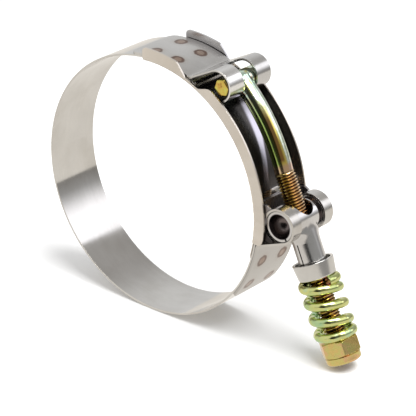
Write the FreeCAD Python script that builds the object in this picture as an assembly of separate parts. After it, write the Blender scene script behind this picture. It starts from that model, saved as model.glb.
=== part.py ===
import FreeCAD, Part
import math
import os

# Spring-loaded T-bolt hose clamp, in millimetres.
# The ring's axis is the Y axis and its centre is the origin. +Z is up, and the
# clamp stands upright on the bottom of its band and on the rim of its lock nut.
# Angles are in the XZ plane, in degrees, from +X towards +Z.

# Driving sizes of the ring
band_outer_radius = 42.45
band_thickness = 0.6
band_width = 19.05
band_upper_end_angle = 64.9
band_lower_end_angle = 12.0
band_corner_radius = 2.0

# Bridge: the channel that spans the gap of the band, inside it
bridge_thickness = 0.6
channel_side_clearance = 0.33
channel_bend_radius = 1.0
flange_height = 3.2
flange_low_height = 0.1
bridge_upper_angle = 93.1
ear_corner_angle = 91.2
ear_end_angle = 75.9
ear_foot_angle = 70.2
low_end_angle = 63.4
flange_full_angle = 57.4
flange_corner_angle = -3.9
bridge_lower_angle = -8.5
ear_corner_height = 1.5
flange_corner_height = 1.95
tongue_end_angle = -20.0
tongue_corner_radius = 4.0

# Straps: each is welded to the band by its tail and curls into a loop
strap_thickness = 0.75
strap_tail_corner_radius = 2.5
bend_inner_radius = 1.2
upper_tail_angle = 101.0
upper_loop_radius = 5.15
upper_loop_height = 5.55
upper_loop_centre_angle = 56.6
upper_ramp_angle = 27.0
upper_curl_sweep = 199.0
upper_slot_width = 6.5
upper_slot_start = 7.0
lower_tail_angle = -40.0
lower_loop_radius = 5.7
lower_loop_height = 8.28
lower_loop_centre_angle = 1.8
lower_ramp_angle = -21.0
lower_curl_sweep = 230.0
lower_slot_width = 11.3
lower_slot_room = 1.3
sliding_gap = 0.1
slot_corner_radius = 1.2

# Saddle that stands in the channel under the lower loop
saddle_thickness = 0.7
saddle_side_clearance = 0.35
saddle_upper_angle = 9.0
saddle_lower_angle = -5.6
saddle_loop_gap = 0.1

# T-bolt
thread_diameter = 6.35
shank_diameter = 5.75
bolt_line_angle = -65.8
thread_start = -14.5
shank_bend_radius = 56.0
head_pull_angle = -12.0
head_diameter = 6.0
head_flat_size = 5.4
head_gap = 0.05
head_end_inset = 0.325
head_round_length = 6.3
head_chamfer = 0.5
bolt_tip_inset = 0.4
bolt_tip_chamfer = 0.6

# Sleeve: a tee rolled from one sheet, its barrel in the lower loop
sleeve_wall = 0.9
sleeve_barrel_gap = 0.1
sleeve_end_inset = 0.275
sleeve_stem_radius = 4.35
sleeve_stem_end = 17.9
sleeve_slit = 0.7
sleeve_slit_turn = -11.0
stem_seam = 0.45
stem_seam_start = 7.5
relief_inner = 3.9
relief_outer = 5.5
relief_from_angle = 150.0
relief_to_angle = -32.0
bolt_hole_fan = 40.0
bolt_hole_steps = 5

# Spring cup round the end of the sleeve's stem
cup_wall = 0.9
cup_rim_radius = 6.5
cup_base_radius = 5.9
cup_rim_at = 13.8
cup_base_corner = 0.6
bolt_clearance = 0.5

# Compression spring, left-hand, with closed ends
spring_outer_radius = 6.8
spring_wire_radius = 1.5
spring_start_angle = 191.0
spring_closed_turn = 176.0
spring_active_turns = 3.38
spring_last_turn = 150.0
spring_join_tolerance = 0.0001

# Lock nut with a collar that holds its locking ring
nut_across_flats = 11.1
nut_height = 7.4
nut_hex_height = 5.1
nut_collar_radius = 5.45
nut_collar_edge = 0.7
nut_collar_bevel = 0.21
nut_corner_angle = 41.0
nut_chamfer_angle = 30.0
nut_thread_clearance = 0.05
insert_radius = 4.2
insert_height = 1.7
collar_lip = 0.35

# Values worked out from the driving sizes
origin = FreeCAD.Vector(0, 0, 0)
axis_y = FreeCAD.Vector(0, 1, 0)
band_inner_radius = band_outer_radius - band_thickness
flange_outer_radius = band_outer_radius + flange_height
upper_loop_centre_radius = band_outer_radius + upper_loop_height
lower_loop_centre_radius = band_outer_radius + lower_loop_height
sleeve_barrel_length = band_width - 2 * sleeve_end_inset
head_length = band_width - 2 * head_end_inset
half_band = band_width / 2
bridge_outer_radius = band_inner_radius
bridge_inner_radius = bridge_outer_radius - bridge_thickness
flange_low_radius = band_outer_radius + flange_low_height
half_channel = half_band + channel_side_clearance + bridge_thickness
lower_tail_radius = band_outer_radius + sliding_gap


def polar(radius, angle, centre=origin):
    turn = math.radians(angle)
    return centre + FreeCAD.Vector(radius * math.cos(turn), 0, radius * math.sin(turn))


upper_loop_centre = polar(upper_loop_centre_radius, upper_loop_centre_angle)
lower_loop_centre = polar(lower_loop_centre_radius, lower_loop_centre_angle)
head_play = upper_loop_radius - strap_thickness - head_diameter / 2 - head_gap
head_centre = polar(head_play, head_pull_angle, upper_loop_centre)
bolt_line = polar(1.0, bolt_line_angle)
bolt_side = polar(1.0, bolt_line_angle + 90)
bolt_place = FreeCAD.Placement(
    lower_loop_centre, FreeCAD.Rotation(FreeCAD.Vector(0, 0, 1), bolt_line)
)
thread_radius = thread_diameter / 2
shank_radius = shank_diameter / 2
barrel_outer_radius = lower_loop_radius - strap_thickness - sleeve_barrel_gap
barrel_inner_radius = barrel_outer_radius - sleeve_wall
stem_inner_radius = sleeve_stem_radius - sleeve_wall
spring_mean_radius = spring_outer_radius - spring_wire_radius
cup_face = sleeve_stem_end + cup_wall + 2 * sliding_gap
rim_drop = (nut_collar_radius - nut_collar_bevel) * bolt_side.z + nut_collar_bevel * bolt_line.z
nut_end = (lower_loop_centre.z + band_outer_radius - rim_drop) / -bolt_line.z
nut_face = nut_end - nut_height
spring_length = nut_face - cup_face


def arc(radius, start, end, centre=origin):
    middle = polar(radius, (start + end) / 2, centre)
    return Part.Arc(polar(radius, start, centre), middle, polar(radius, end, centre)).toShape()


def line(start, end):
    return Part.LineSegment(start, end).toShape()


def slab(edges, low, high):
    face = Part.Face(Part.Wire(Part.__sortEdges__(edges)))
    face.translate(axis_y * low)
    return face.extrude(axis_y * (high - low))


def ring_sector(inner, outer, start, end, low, high, centre=origin):
    edges = [
        arc(outer, start, end, centre),
        line(polar(outer, end, centre), polar(inner, end, centre)),
        arc(inner, end, start, centre),
        line(polar(inner, start, centre), polar(outer, start, centre)),
    ]
    return slab(edges, low, high)


def round_end_corners(solid, radius, angle, side_y):
    """Round the corners of a sheet's end: its short radial edges at an angle."""
    corners = []
    for edge in solid.Edges:
        middle = edge.CenterOfMass
        spot = math.degrees(math.atan2(middle.z, middle.x))
        turned = abs((spot - angle + 180) % 360 - 180)
        short = edge.Length < 2 * strap_thickness
        if short and turned < 0.2 and abs(abs(middle.y) - side_y) < 0.01:
            corners.append(edge)
    return solid.makeFillet(radius, corners)


def make_band():
    band = ring_sector(
        band_inner_radius,
        band_outer_radius,
        band_upper_end_angle,
        360 + band_lower_end_angle,
        -half_band,
        half_band,
    )
    band = round_end_corners(band, band_corner_radius, band_upper_end_angle, half_band)
    return round_end_corners(band, band_corner_radius, band_lower_end_angle, half_band)


def channel_section():
    """The bent sheet's section, in a plane through the ring's axis."""
    top = flange_outer_radius + 1
    wide = half_channel
    inner = channel_bend_radius - bridge_thickness
    bend = bridge_inner_radius + channel_bend_radius
    side = wide - channel_bend_radius
    diagonal = math.sqrt(0.5)

    def at(radius, y):
        return FreeCAD.Vector(radius, y, 0)

    edges = [
        line(at(top, -wide), at(bend, -wide)),
        Part.Arc(
            at(bend, -wide),
            at(bend - channel_bend_radius * diagonal, -side - channel_bend_radius * diagonal),
            at(bridge_inner_radius, -side),
        ).toShape(),
        line(at(bridge_inner_radius, -side), at(bridge_inner_radius, side)),
        Part.Arc(
            at(bridge_inner_radius, side),
            at(bend - channel_bend_radius * diagonal, side + channel_bend_radius * diagonal),
            at(bend, wide),
        ).toShape(),
        line(at(bend, wide), at(top, wide)),
        line(at(top, wide), at(top, wide - bridge_thickness)),
        line(at(top, wide - bridge_thickness), at(bend, wide - bridge_thickness)),
        Part.Arc(
            at(bend, wide - bridge_thickness),
            at(bend - inner * diagonal, side + inner * diagonal),
            at(bridge_outer_radius, side),
        ).toShape(),
        line(at(bridge_outer_radius, side), at(bridge_outer_radius, -side)),
        Part.Arc(
            at(bridge_outer_radius, -side),
            at(bend - inner * diagonal, -side - inner * diagonal),
            at(bend, -wide + bridge_thickness),
        ).toShape(),
        line(at(bend, -wide + bridge_thickness), at(top, -wide + bridge_thickness)),
        line(at(top, -wide + bridge_thickness), at(top, -wide)),
    ]
    return Part.Face(Part.Wire(edges))


def flange_outline():
    """Side view of the bridge: ears at the top, a low stretch, then the full flange."""
    floor = bridge_inner_radius - 1
    top = flange_outer_radius
    low = flange_low_radius
    rise = [
        polar(low, low_end_angle),
        polar(low, low_end_angle - 2.2),
        polar(top, flange_full_angle + 2.2),
        polar(top, flange_full_angle),
    ]
    climb = Part.BezierCurve()
    climb.setPoles(rise)
    ear_side = top - ear_corner_height
    end_side = top - flange_corner_height
    ear_mid_angle = bridge_upper_angle * 0.75 + ear_corner_angle * 0.25
    end_mid_angle = (bridge_lower_angle * 0.6 + flange_corner_angle * 0.4)
    return [
        arc(floor, bridge_lower_angle, bridge_upper_angle),
        line(polar(floor, bridge_upper_angle), polar(ear_side, bridge_upper_angle)),
        Part.Arc(
            polar(ear_side, bridge_upper_angle),
            polar(top - ear_corner_height * 0.3, ear_mid_angle),
            polar(top, ear_corner_angle),
        ).toShape(),
        arc(top, ear_corner_angle, ear_end_angle),
        line(polar(top, ear_end_angle), polar(low, ear_foot_angle)),
        arc(low, ear_foot_angle, low_end_angle),
        climb.toShape(),
        arc(top, flange_full_angle, flange_corner_angle),
        Part.Arc(
            polar(top, flange_corner_angle),
            polar(top - flange_corner_height * 0.25, end_mid_angle),
            polar(end_side, bridge_lower_angle),
        ).toShape(),
        line(polar(end_side, bridge_lower_angle), polar(floor, bridge_lower_angle)),
    ]


def make_bridge():
    section = channel_section()
    section.rotate(origin, axis_y, -bridge_lower_angle)
    channel = section.revolve(origin, axis_y * -1, bridge_upper_angle - bridge_lower_angle)
    keep = slab(flange_outline(), -half_channel - 1, half_channel + 1)
    channel = channel.common(keep)
    tongue = ring_sector(
        bridge_inner_radius,
        bridge_outer_radius,
        tongue_end_angle,
        bridge_lower_angle + 1,
        -half_band,
        half_band,
    )
    tongue = round_end_corners(tongue, tongue_corner_radius, tongue_end_angle, half_band)
    return channel.fuse(tongue).removeSplitter()


def bend_centre(tail_radius, loop_centre, loop_radius, ramp_angle):
    """Centre of the outward bend that joins the tail to the ramp."""
    ramp = polar(1.0, ramp_angle)
    left = polar(1.0, ramp_angle + 90)
    reach = tail_radius + strap_thickness + bend_inner_radius
    start = polar(loop_radius, ramp_angle + 90, loop_centre) + left * bend_inner_radius
    along = start.dot(ramp)
    root = math.sqrt(along * along - start.dot(start) + reach * reach)
    return start + ramp * (root - along)


def strap_outline(tail_angle, tail_radius, loop_centre, loop_radius, ramp_angle, sweep):
    """Side view of a strap whose loop curls clockwise, as closed edges."""
    sheet = strap_thickness
    ramp = polar(1.0, ramp_angle)
    left = polar(1.0, ramp_angle + 90)
    bend = bend_centre(tail_radius, loop_centre, loop_radius, ramp_angle)
    bend_angle = math.degrees(math.atan2(bend.z, bend.x))
    down = bend * (-1.0 / bend.Length)
    halfway = down - left
    halfway = halfway * (1.0 / halfway.Length)
    wide = bend_inner_radius + sheet
    first = ramp_angle + 90
    last = first - sweep
    tail_out = tail_radius + sheet
    loop_in = loop_radius - sheet
    return [
        arc(tail_out, tail_angle, bend_angle),
        Part.Arc(
            bend + down * bend_inner_radius,
            bend + halfway * bend_inner_radius,
            bend - left * bend_inner_radius,
        ).toShape(),
        line(bend - left * bend_inner_radius, polar(loop_radius, first, loop_centre)),
        arc(loop_radius, first, last, loop_centre),
        line(polar(loop_radius, last, loop_centre), polar(loop_in, last, loop_centre)),
        arc(loop_in, last, first, loop_centre),
        line(polar(loop_in, first, loop_centre), bend - left * wide),
        Part.Arc(bend - left * wide, bend + halfway * wide, bend + down * wide).toShape(),
        arc(tail_radius, bend_angle, tail_angle),
        line(polar(tail_radius, tail_angle), polar(tail_out, tail_angle)),
    ]


def slot_cutter(corner, ramp_angle, width):
    """A long round-cornered block that opens a loop for the bolt."""
    length = 6 * lower_loop_radius
    block = Part.makeBox(length, width, length)
    block = block.makeFillet(slot_corner_radius, [block.Edges[0], block.Edges[2]])
    block.translate(FreeCAD.Vector(0, -width / 2, -length / 2))
    block.rotate(origin, axis_y, -ramp_angle)
    block.translate(corner)
    return block


def make_strap(tail_angle, tail_radius, loop_centre, loop_radius, ramp_angle, sweep, slot):
    outline = strap_outline(tail_angle, tail_radius, loop_centre, loop_radius, ramp_angle, sweep)
    strap = slab(outline, -half_band, half_band)
    strap = round_end_corners(strap, strap_tail_corner_radius, tail_angle, half_band)
    return strap.cut(slot)


def make_bolt_strap():
    bend = bend_centre(
        band_outer_radius, upper_loop_centre, upper_loop_radius, upper_ramp_angle
    )
    corner = bend + polar(upper_slot_start, upper_ramp_angle)
    return make_strap(
        upper_tail_angle,
        band_outer_radius,
        upper_loop_centre,
        upper_loop_radius,
        upper_ramp_angle,
        upper_curl_sweep,
        slot_cutter(corner, upper_ramp_angle, upper_slot_width),
    )


def flipped(vector):
    return FreeCAD.Vector(vector.x, vector.y, -vector.z)


def make_barrel_strap():
    """The lower strap, drawn flipped over the XY plane so that it curls clockwise."""
    centre = flipped(lower_loop_centre)
    left = polar(1.0, lower_ramp_angle + 90)
    stem_edge = centre - flipped(bolt_side) * (sleeve_stem_radius + lower_slot_room)
    down = flipped(bolt_line)
    reach = (left.dot(centre - stem_edge) + lower_loop_radius) / left.dot(down)
    corner = stem_edge + down * reach
    strap = make_strap(
        -lower_tail_angle,
        lower_tail_radius,
        centre,
        lower_loop_radius,
        lower_ramp_angle,
        lower_curl_sweep,
        slot_cutter(corner, lower_ramp_angle, lower_slot_width),
    )
    return strap.mirror(origin, FreeCAD.Vector(0, 0, 1))


def make_saddle():
    """A small channel on the band's end, its two cheeks hollowed for the loop."""
    floor = lower_tail_radius
    half = half_channel - bridge_thickness - saddle_side_clearance
    plate = ring_sector(
        floor, floor + saddle_thickness, saddle_lower_angle, saddle_upper_angle, -half, half
    )
    cheek_top = lower_loop_centre_radius
    hollow = Part.makeCylinder(
        lower_loop_radius + saddle_loop_gap, 4 * half, lower_loop_centre - axis_y * 2 * half, axis_y
    )
    saddle = plate
    for low, high in ((-half, -half + saddle_thickness), (half - saddle_thickness, half)):
        cheek = ring_sector(floor, cheek_top, saddle_lower_angle, saddle_upper_angle, low, high)
        cheek = cheek.cut(hollow)
        cheek = cheek.Solids[0]
        saddle = saddle.fuse(cheek)
    limit = Part.makeCylinder(
        flange_outer_radius + 2.9, 4 * half, axis_y * -2 * half, axis_y
    )
    return saddle.cut(hollow).common(limit).removeSplitter()


def along_bolt(shape):
    """Place a shape that was drawn along +Z on the bolt's line."""
    shape.Placement = bolt_place.multiply(shape.Placement)
    return shape


def rod(radius, start, end):
    up = FreeCAD.Vector(0, 0, 1)
    return Part.makeCylinder(radius, end - start, FreeCAD.Vector(0, 0, start), up)


def hexagon(flats, low, high, turn):
    corner = flats / math.sqrt(3)
    points = []
    for step in range(7):
        angle = math.radians(turn + 60 * step)
        points.append(FreeCAD.Vector(corner * math.cos(angle), corner * math.sin(angle), low))
    face = Part.Face(Part.makePolygon(points))
    return face.extrude(FreeCAD.Vector(0, 0, high - low))


def make_head():
    """Cross bar of the bolt: round in the middle, forged to a hexagon at its ends."""
    half = head_length / 2
    middle = head_round_length / 2
    bar = Part.makeCylinder(head_diameter / 2, head_length, axis_y * -half, axis_y)
    bar = bar.makeChamfer(head_chamfer, bar.Edges[0:1] + bar.Edges[2:3])
    prism = hexagon(head_flat_size, -half, half, 12)
    prism.rotate(origin, FreeCAD.Vector(1, 0, 0), -90)
    core = Part.makeCylinder(head_diameter / 2, 2 * middle, axis_y * -middle, axis_y)
    bar = bar.common(prism).fuse(core)
    bar.translate(head_centre)
    return bar


def make_t_bolt():
    start = lower_loop_centre + bolt_line * thread_start
    chord = head_centre - start
    half_chord = chord.Length / 2
    depth = math.sqrt(shank_bend_radius ** 2 - half_chord ** 2)
    inward = FreeCAD.Vector(-chord.z, 0, chord.x) * (1.0 / chord.Length)
    bend = start + chord * 0.5 + inward * depth
    arm = start - bend
    tangent = FreeCAD.Vector(-arm.z, 0, arm.x) * (1.0 / arm.Length)
    disc = Part.Face(Part.Wire(Part.Circle(start, tangent, shank_radius).toShape()))
    turn = 2 * math.degrees(math.asin(half_chord / shank_bend_radius))
    shank = disc.revolve(bend, axis_y * -1, turn)
    tip = nut_end - bolt_tip_inset
    thread = rod(thread_radius, thread_start - 0.8, tip)
    thread = thread.makeChamfer(bolt_tip_chamfer, [thread.Edges[0], thread.Edges[2]])
    return along_bolt(thread).fuse([shank, make_head()]).removeSplitter()


def fan_cutter():
    """The bolt's hole through the barrel, drawn out towards the outer side."""
    cutter = None
    radius = stem_inner_radius
    for step in range(bolt_hole_steps):
        bore = rod(radius, -3 * radius, 0)
        turn = bolt_hole_fan * step / (bolt_hole_steps - 1)
        bore.rotate(origin, axis_y, turn)
        cutter = bore if cutter is None else cutter.fuse(bore)
    return cutter


def relief_cutter(low, high):
    ring = ring_sector(
        barrel_inner_radius - 1,
        barrel_outer_radius + 1,
        relief_to_angle,
        relief_from_angle,
        low,
        high,
        lower_loop_centre,
    )
    return ring


def make_barrel_sleeve():
    """Barrel and stem, rolled from one sheet, with its slit, seam and relief cuts."""
    half = sleeve_barrel_length / 2
    barrel = Part.makeCylinder(
        barrel_outer_radius, sleeve_barrel_length, lower_loop_centre - axis_y * half, axis_y
    )
    hollow = Part.makeCylinder(
        barrel_inner_radius, 2 * sleeve_barrel_length, lower_loop_centre - axis_y * 2 * half, axis_y
    )
    stem = along_bolt(rod(sleeve_stem_radius, 0, sleeve_stem_end))
    bore = along_bolt(rod(stem_inner_radius, 0, sleeve_stem_end + 1))
    body = barrel.fuse(stem).removeSplitter()
    body = body.cut([hollow, bore, along_bolt(fan_cutter())])
    slit = Part.makeBox(sleeve_slit, 2 * sleeve_barrel_length, 2 * barrel_outer_radius)
    slit.translate(FreeCAD.Vector(-sleeve_slit / 2, 0, 0))
    for side in (relief_outer, -relief_outer - 2 * sleeve_barrel_length):
        piece = slit.copy()
        piece.translate(axis_y * side)
        piece.rotate(origin, axis_y, sleeve_slit_turn)
        body = body.cut(along_bolt(piece))
    seam = Part.makeBox(stem_seam, 2 * sleeve_stem_radius, sleeve_stem_end)
    seam.translate(FreeCAD.Vector(-stem_seam / 2, -2 * sleeve_stem_radius, stem_seam_start))
    body = body.cut(along_bolt(seam))
    body = body.cut([relief_cutter(-relief_outer, -relief_inner), relief_cutter(relief_inner, relief_outer)])
    return body.removeSplitter()


def revolved(points):
    """Turn a closed outline of (radius, height) points about the bolt's line."""
    corners = [FreeCAD.Vector(radius, 0, height) for radius, height in points]
    face = Part.Face(Part.makePolygon(corners + corners[:1]))
    return face.revolve(origin, FreeCAD.Vector(0, 0, 1), 360)


def make_spring_cup():
    hole = thread_radius + bolt_clearance
    seat = sleeve_stem_radius + sliding_gap
    base = cup_face - cup_wall
    lean = (cup_rim_radius - cup_base_radius) * cup_wall / (cup_face - cup_rim_at)
    inner_base = max(cup_base_radius - cup_wall + lean, seat)
    outline = [
        (hole, cup_face),
        (cup_base_radius - cup_base_corner, cup_face),
        (cup_base_radius - cup_base_corner * 0.3, cup_face - cup_base_corner * 0.3),
        (cup_base_radius, cup_face - cup_base_corner),
        (cup_rim_radius, cup_rim_at),
        (cup_rim_radius - cup_wall, cup_rim_at),
        (inner_base, base),
        (hole, base),
    ]
    return along_bolt(revolved(outline))


def end_coil(start_angle, sweep, height):
    """A flat closing coil: part of a ring that runs clockwise from an angle."""
    ring = Part.makeTorus(
        spring_mean_radius, spring_wire_radius, origin, FreeCAD.Vector(0, 0, 1), 0, 360, sweep
    )
    ring.rotate(origin, FreeCAD.Vector(0, 0, 1), start_angle - sweep)
    ring.translate(FreeCAD.Vector(0, 0, height))
    return ring


def make_spring():
    first = cup_face + spring_wire_radius
    rise = spring_length - 2 * spring_wire_radius
    pitch = rise / spring_active_turns
    helix = Part.makeHelix(pitch, rise, spring_mean_radius, 0, True)
    profile = Part.Wire(
        Part.Circle(
            FreeCAD.Vector(spring_mean_radius, 0, 0), axis_y, spring_wire_radius
        ).toShape()
    )
    coil = Part.Wire(helix.Edges).makePipeShell([profile], True, True)
    joint_angle = spring_start_angle - spring_closed_turn
    coil.rotate(origin, FreeCAD.Vector(0, 0, 1), joint_angle)
    coil.translate(FreeCAD.Vector(0, 0, first))
    top = end_coil(spring_start_angle, spring_closed_turn, first)
    end_angle = joint_angle - 360 * spring_active_turns
    bottom = end_coil(end_angle, spring_last_turn, first + rise)
    return along_bolt(coil.fuse([top, bottom], spring_join_tolerance).removeSplitter())


def make_lock_nut():
    corner = nut_across_flats / math.sqrt(3)
    slope = math.tan(math.radians(nut_chamfer_angle))
    drop = (corner - nut_across_flats / 2) * slope
    hex_end = nut_face + nut_hex_height
    shoulder = revolved(
        [
            (0, nut_face),
            (nut_across_flats / 2, nut_face),
            (corner, nut_face + drop),
            (corner, hex_end - 2 * drop),
            (nut_across_flats / 2 - drop, hex_end),
            (0, hex_end),
        ]
    )
    body = hexagon(nut_across_flats, nut_face, hex_end, nut_corner_angle).common(shoulder)
    collar = revolved(
        [
            (0, hex_end - 1),
            (nut_collar_radius, hex_end - 1),
            (nut_collar_radius, nut_end - nut_collar_edge),
            (nut_collar_radius - nut_collar_bevel, nut_end - nut_collar_bevel),
            (nut_collar_radius - nut_collar_edge, nut_end),
            (0, nut_end),
        ]
    )
    bore = rod(thread_radius + nut_thread_clearance, nut_face - 1, nut_end + 1)
    pocket = rod(insert_radius, nut_end - collar_lip - insert_height, nut_end - collar_lip)
    mouth = rod(insert_radius - collar_lip, nut_end - collar_lip, nut_end + 1)
    return along_bolt(body.fuse(collar).cut([bore, pocket, mouth]).removeSplitter())


def make_lock_ring():
    top = nut_end - collar_lip - insert_height
    ring = rod(insert_radius, top, nut_end - collar_lip)
    bore = rod(thread_radius + nut_thread_clearance, top - 1, nut_end)
    return along_bolt(ring.cut(bore))


def save(name, shape):
    solids = shape.Solids
    shape = solids[0] if len(solids) == 1 else Part.makeCompound(solids)
    shape.exportStep("parts/" + name + ".step")
    print(name, "solids", len(solids), "valid", shape.isValid(), "volume", round(shape.Volume, 1))


os.makedirs("parts", exist_ok=True)
save("band", make_band())
save("bridge", make_bridge())
save("bolt_strap", make_bolt_strap())
save("barrel_strap", make_barrel_strap())
save("saddle", make_saddle())
save("t_bolt", make_t_bolt())
save("barrel_sleeve", make_barrel_sleeve())
save("spring_cup", make_spring_cup())
save("spring", make_spring())
save("lock_nut", make_lock_nut())
save("lock_ring", make_lock_ring())
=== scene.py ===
import math
import random

import bmesh
import bpy
import numpy as np
from mathutils import Matrix, Vector


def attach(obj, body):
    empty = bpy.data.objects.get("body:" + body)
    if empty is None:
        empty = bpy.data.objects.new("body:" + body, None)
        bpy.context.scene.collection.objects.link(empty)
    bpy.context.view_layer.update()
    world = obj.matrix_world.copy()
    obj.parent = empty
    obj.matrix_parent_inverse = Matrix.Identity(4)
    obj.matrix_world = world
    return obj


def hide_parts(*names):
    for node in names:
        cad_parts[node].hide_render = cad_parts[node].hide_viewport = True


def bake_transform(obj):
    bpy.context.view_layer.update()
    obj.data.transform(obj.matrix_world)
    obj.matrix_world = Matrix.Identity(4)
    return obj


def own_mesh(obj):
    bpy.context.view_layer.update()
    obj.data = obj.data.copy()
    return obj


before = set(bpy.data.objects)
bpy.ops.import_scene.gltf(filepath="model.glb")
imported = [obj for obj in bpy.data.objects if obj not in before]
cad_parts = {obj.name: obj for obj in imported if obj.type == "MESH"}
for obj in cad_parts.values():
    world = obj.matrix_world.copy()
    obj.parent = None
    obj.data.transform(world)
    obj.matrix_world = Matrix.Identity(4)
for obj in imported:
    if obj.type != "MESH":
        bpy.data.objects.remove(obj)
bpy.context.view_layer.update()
scene = bpy.context.scene
MM = 0.001

# Sizes in millimetres, and angles in degrees in the plane of the ring. The main ones are the part's
BAND_R = 42.45
BAND_T = 0.6
HALF_BAND = 9.525
BAND_ENDS = (64.9, 372.0)
BAND_CORNER = 2.0
BRIDGE_T = 0.6
BRIDGE_BEND = 1.0
BRIDGE_CORNER = 4.0
BRIDGE_ENDS = (-20.0, 93.1)
BRIDGE_PLAN_R = 41.5
CHANNEL_GAP = 0.33
CHANNEL = HALF_BAND + CHANNEL_GAP + BRIDGE_T
BRIDGE_IN = BAND_R - BAND_T - BRIDGE_T
TOP_R = BAND_R + 3.2
LOW_R = BAND_R + 0.1

# The bridge's flanges have rounded ends, and beside the upper strap they dip: they fall between
# the last two angles of DIP and rise again between its first two
FLANGE_START = -8.5
LOWER_ROUND = 4.6
LOWER_ROUND_DROP = 1.95
UPPER_ROUND = 1.9
UPPER_ROUND_DROP = 1.5
DIP = (57.4, 63.4, 70.2, 75.9)

# The saddle, whose top slopes towards its upper end
SADDLE_ENDS = (-5.6, 9.0)
SADDLE_T = 0.7
SADDLE_BEND = 0.75
SADDLE_GAP = 0.35
SADDLE_RISE = 2.9
SADDLE_SLOPE_START = 7.2
SADDLE_SLOPE = 1.1

# The upper strap holds the bolt's head, the lower one the sleeve's barrel
STRAP_T = 0.75
STRAP_BEND = 1.2
STRAP_CORNER = 2.5
SLOT_CORNER = 1.2
UP_TAIL = 101.0
UP_RAMP = 27.0
UP_LOOP = 5.15
UP_SWEEP = 199.0
UP_SLOT = 6.5
UP_SLOT_START = 7.0
UP_CENTRE_R = 48.0
UP_CENTRE_ANGLE = 56.6
LOW_TAIL = 40.0
LOW_RAMP = -21.0
LOW_LOOP = 5.7
LOW_SWEEP = 230.0
LOW_SLOT = 11.3
LOW_SLOT_GAP = 1.3
LOW_CENTRE_R = 50.73
LOW_CENTRE_ANGLE = 1.8

# The bolt. Places along it are counted from the barrel's centre
HEAD_R = 3.0
HEAD_HALF = 9.2
HEAD_GAP = 0.05
HEAD_PULL = -12.0
BOLT_LINE = -65.8
SHANK_R = 2.875
SHANK_ARC_R = 56.0
THREAD_START = -14.5
THREAD_R = 3.175
ROOT_R = 2.66
PITCH = 25.4 / 28

# Sleeve, cup, spring and nut, counted the same way
STEM_R = 4.35
STEM_END = 17.9
SLEEVE_T = 0.9
SLEEVE_GAP = 0.1
BARREL_CLEAR = 0.22
BARREL_HALF = 9.25
BORE_R = 3.45
CUP_T = 0.9
CUP_GAP = 0.2
CUP_FACE = STEM_END + CUP_T + CUP_GAP
CUP_RIM = 13.8
COIL_R = 5.3
COIL_START = 199.0
WIRE_R = 1.5
HEX_WIDTH = 11.1
HEX_HEIGHT = 5.1
HEX_TURN = 41.0
NUT_HEIGHT = 7.4
NUT_BORE = 3.225
LIP_R = 3.85
LIP_T = 0.35
COLLAR = 5.45
COLLAR_BEVEL = 0.21


def polar(r, a, c=(0.0, 0.0)):
    return np.array([c[0] + r * math.cos(math.radians(a)), c[1] + r * math.sin(math.radians(a))])


UP_C = polar(UP_CENTRE_R, UP_CENTRE_ANGLE)
LOW_C = polar(LOW_CENTRE_R, LOW_CENTRE_ANGLE)
HEAD = polar(UP_LOOP - STRAP_T - HEAD_R - HEAD_GAP, HEAD_PULL, UP_C)
U = polar(1.0, BOLT_LINE)
SIDE = polar(1.0, BOLT_LINE + 90)
NUT_RIM = (COLLAR - COLLAR_BEVEL) * SIDE[1] + COLLAR_BEVEL * U[1]
NUT_END = (LOW_C[1] + BAND_R - NUT_RIM) / -U[1]
NUT_FACE = NUT_END - NUT_HEIGHT


# Mesh helpers: every builder works in millimetres and bakes its bevels


def recalc(obj):
    bm = bmesh.new()
    bm.from_mesh(obj.data)
    bmesh.ops.remove_doubles(bm, verts=bm.verts, dist=1e-7)
    bmesh.ops.recalc_face_normals(bm, faces=bm.faces)
    bm.to_mesh(obj.data)
    bm.free()


def make(name, verts, faces, bevel=0.0, angle=35, clean=True):
    me = bpy.data.meshes.new(name)
    me.from_pydata([tuple(float(c) * MM for c in v) for v in verts], [], faces)
    obj = bpy.data.objects.new(name, me)
    scene.collection.objects.link(obj)
    if clean:
        recalc(obj)
    finish_mesh(obj, bevel, angle)
    return obj


def bake(obj):
    bpy.context.view_layer.update()
    dg = bpy.context.evaluated_depsgraph_get()
    me = bpy.data.meshes.new_from_object(obj.evaluated_get(dg), preserve_all_data_layers=True, depsgraph=dg)
    obj.modifiers.clear()
    obj.data = me


def bevel_edges(obj, width, angle):
    m = obj.modifiers.new("bevel", "BEVEL")
    m.width = width * MM
    m.segments = 2
    m.limit_method = "ANGLE"
    m.angle_limit = math.radians(angle)
    return m


def finish_mesh(obj, bevel, angle):
    """Smooth shading, with the edges over an angle bevelled or, without a bevel, sharp."""
    for p in obj.data.polygons:
        p.use_smooth = True
    if bevel > 0:
        m = bevel_edges(obj, bevel, angle)
        m.harden_normals = True
        m.use_clamp_overlap = True
        bake(obj)
        return
    bm = bmesh.new()
    bm.from_mesh(obj.data)
    for e in bm.edges:
        if len(e.link_faces) == 2 and e.calc_face_angle(0) > math.radians(angle):
            e.smooth = False
    bm.to_mesh(obj.data)
    bm.free()


def around(r, a, z):
    """A point at an angle round Z, in radians."""
    return (r * math.cos(a), r * math.sin(a), z)


def turns(n, offset=0.0):
    """The angles of n even steps round a circle, in radians."""
    return [2 * math.pi * (k + offset) / n for k in range(n)]


def ring_faces(rows, n, loop=False):
    """Quads between rows of n points, with a cap at each end or the last row joined to the first."""
    faces = []
    for i in range(rows if loop else rows - 1):
        i2 = (i + 1) % rows
        for k in range(n):
            k2 = (k + 1) % n
            faces.append([i * n + k, i * n + k2, i2 * n + k2, i2 * n + k])
    if not loop:
        faces.append(list(range(n - 1, -1, -1)))
        faces.append([(rows - 1) * n + k for k in range(n)])
    return faces


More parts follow.
